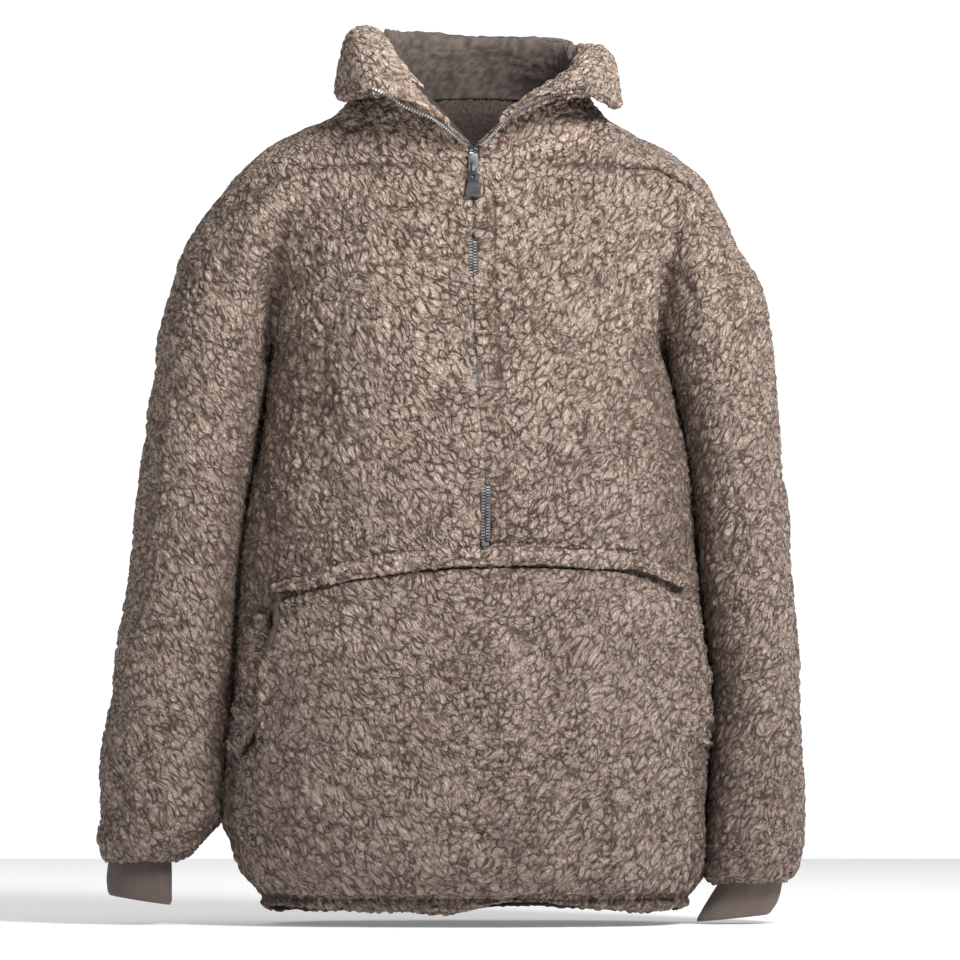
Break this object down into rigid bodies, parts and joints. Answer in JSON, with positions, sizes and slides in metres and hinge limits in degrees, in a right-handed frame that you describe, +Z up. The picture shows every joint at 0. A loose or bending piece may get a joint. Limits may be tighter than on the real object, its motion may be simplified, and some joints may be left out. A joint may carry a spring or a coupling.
{
  "type": "half-zip sherpa fleece pullover",
  "caption": "Oversized half-zip sherpa fleece pullover, filled out as worn, with a splayed stand collar, dropped shoulders, a kangaroo pocket, rib cuffs and a metal zip with a pull tab",
  "frame": {"origin": "middle of the neck at the height where the wearer's shoulders hold the garment up", "axes": "+X to the wearer's left, -Y out of the front, +Z up"},
  "size_m": [0.6798, 0.3234, 0.8583],
  "materials": {
    "sherpa_fleece": "deep curled taupe sherpa pile, matt",
    "short_plush": "short dark grey-brown plush",
    "rib_knit": "fine rib knit, grey-brown",
    "zip_metal": "silver zip metal",
    "gunmetal": "dark gunmetal with a polished lower end"
  },
  "bodies": {
    "garment": {"front": "sherpa_fleece", "back": "sherpa_fleece", "sleeve_right": "sherpa_fleece", "sleeve_left": "sherpa_fleece", "collar": "sherpa_fleece", "hem_band": "sherpa_fleece", "pocket": "sherpa_fleece", "pocket_hem": "sherpa_fleece", "pocket_edge_right": "sherpa_fleece", "pocket_edge_left": "sherpa_fleece", "collar_lining": "short_plush", "cuff_right": "rib_knit", "cuff_left": "rib_knit", "zip_chain_right": "zip_metal", "zip_chain_left": "zip_metal", "zip_stop": "zip_metal", "zip_slider": "zip_metal"},
    "pull_tab": {"zip_pull": "gunmetal"}
  },
  "joints": [
    {"name": "pull_hinge", "type": "hinge", "parent": "garment", "child": "pull_tab", "pos_m": [-0.00052, -0.11056, -0.0416], "axis": [-1, 0, 0], "range_deg": [0, 165]}
  ]
}
